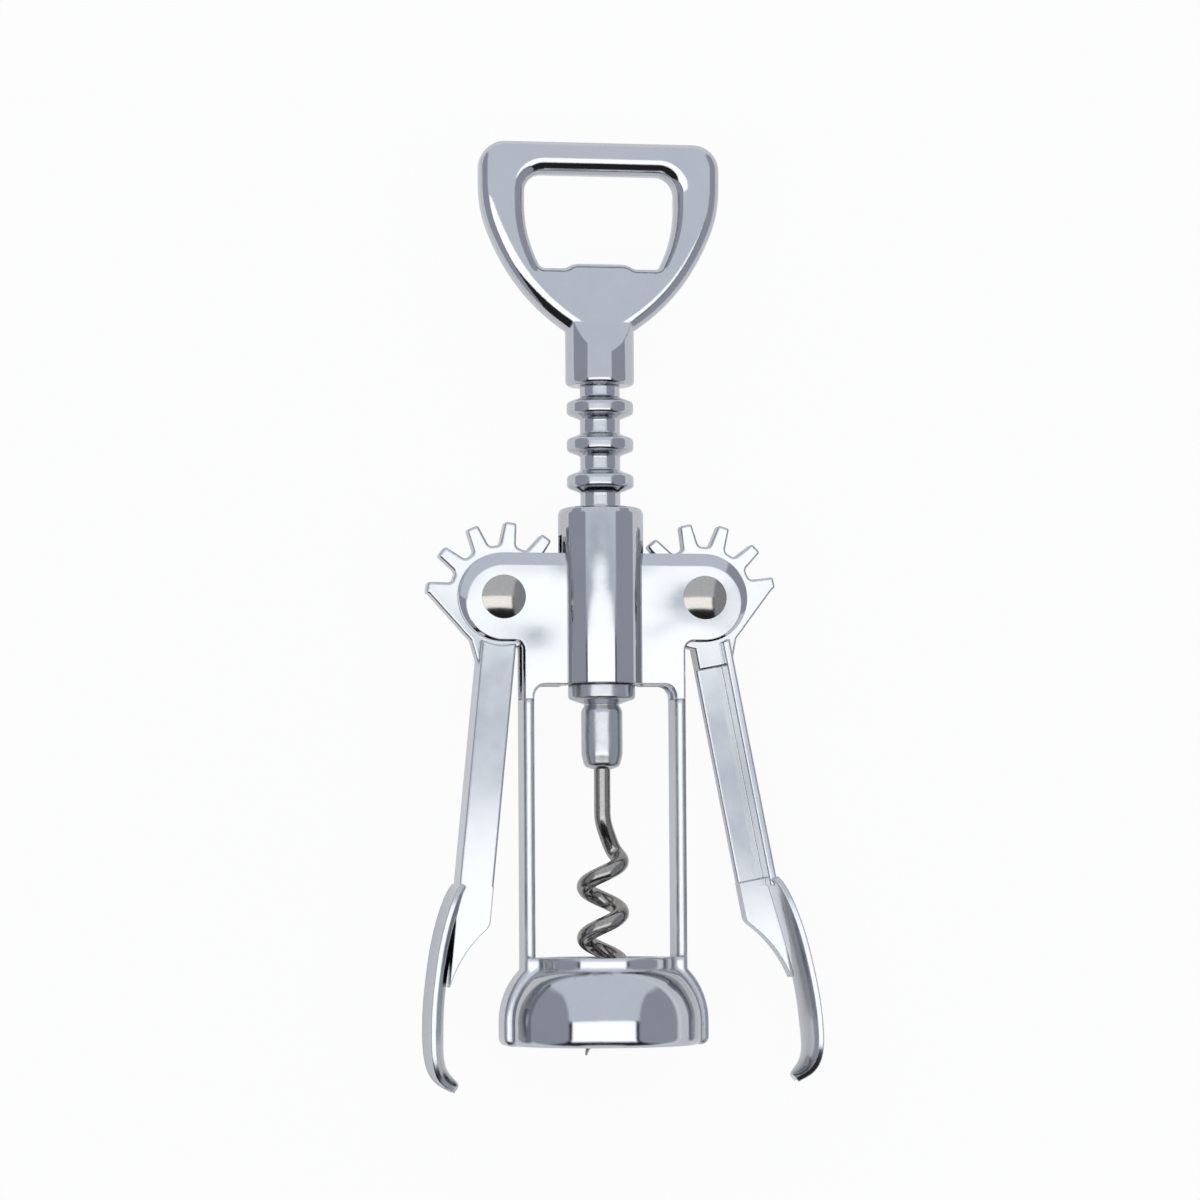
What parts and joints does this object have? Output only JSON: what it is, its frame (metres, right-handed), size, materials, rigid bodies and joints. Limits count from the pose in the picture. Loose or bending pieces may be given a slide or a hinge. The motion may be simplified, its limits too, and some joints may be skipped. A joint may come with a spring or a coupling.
{
  "type": "wing corkscrew",
  "caption": "Wing corkscrew with geared lever arms, ringed rack, bell guide for a bottle neck, wire worm and crown cap opener handle.",
  "frame": {"origin": "centre of the bell's mouth, on the axis of the screw", "axes": "+Y runs along the screw's axis from the bell to the handle, +Z points out of the front face, +X to the right seen from the front; the part lies on its back, so -Z is down"},
  "size_m": [0.0752, 0.1802, 0.0372],
  "materials": {
    "chromed_zinc": "polished bright chrome plate on a zinc casting",
    "rivet_steel": "satin nickel plated steel",
    "worm_steel": "bright drawn steel wire"
  },
  "bodies": {
    "frame": {"bell": "chromed_zinc", "left_upright": "chromed_zinc", "right_upright": "chromed_zinc", "left_front_plate": "chromed_zinc", "right_front_plate": "chromed_zinc", "left_back_plate": "chromed_zinc", "right_back_plate": "chromed_zinc", "barrel": "chromed_zinc", "left_rivet": "rivet_steel", "right_rivet": "rivet_steel"},
    "rack": {"rack_sleeve": "chromed_zinc"},
    "screw": {"spindle": "chromed_zinc", "worm": "worm_steel", "opener_handle": "chromed_zinc"},
    "left_lever": {"left_lever": "chromed_zinc"},
    "right_lever": {"right_lever": "chromed_zinc"}
  },
  "joints": [
    {"name": "rack_slide", "type": "slide", "parent": "frame", "child": "rack", "axis": [0, 1, 0], "range_m": [-0.033, 0.0008]},
    {"name": "left_lever_hinge", "type": "hinge", "parent": "frame", "child": "left_lever", "pos_m": [-0.01934, 0.0845, 0], "axis": [0, 0, -1], "range_deg": [-3.53, 141.53]},
    {"name": "right_lever_hinge", "type": "hinge", "parent": "frame", "child": "right_lever", "pos_m": [0.01934, 0.0845, 0], "axis": [0, 0, 1], "range_deg": [-3.53, 141.53]},
    {"name": "screw_turn", "type": "hinge", "parent": "rack", "child": "screw", "pos_m": [0, 0.125, 0], "axis": [0, 1, 0], "continuous": true}
  ],
  "couplings": [
    {"joint": "left_lever_hinge", "follows": "rack_slide", "rad_per_m": -74.8},
    {"joint": "right_lever_hinge", "follows": "rack_slide", "rad_per_m": -74.8}
  ]
}
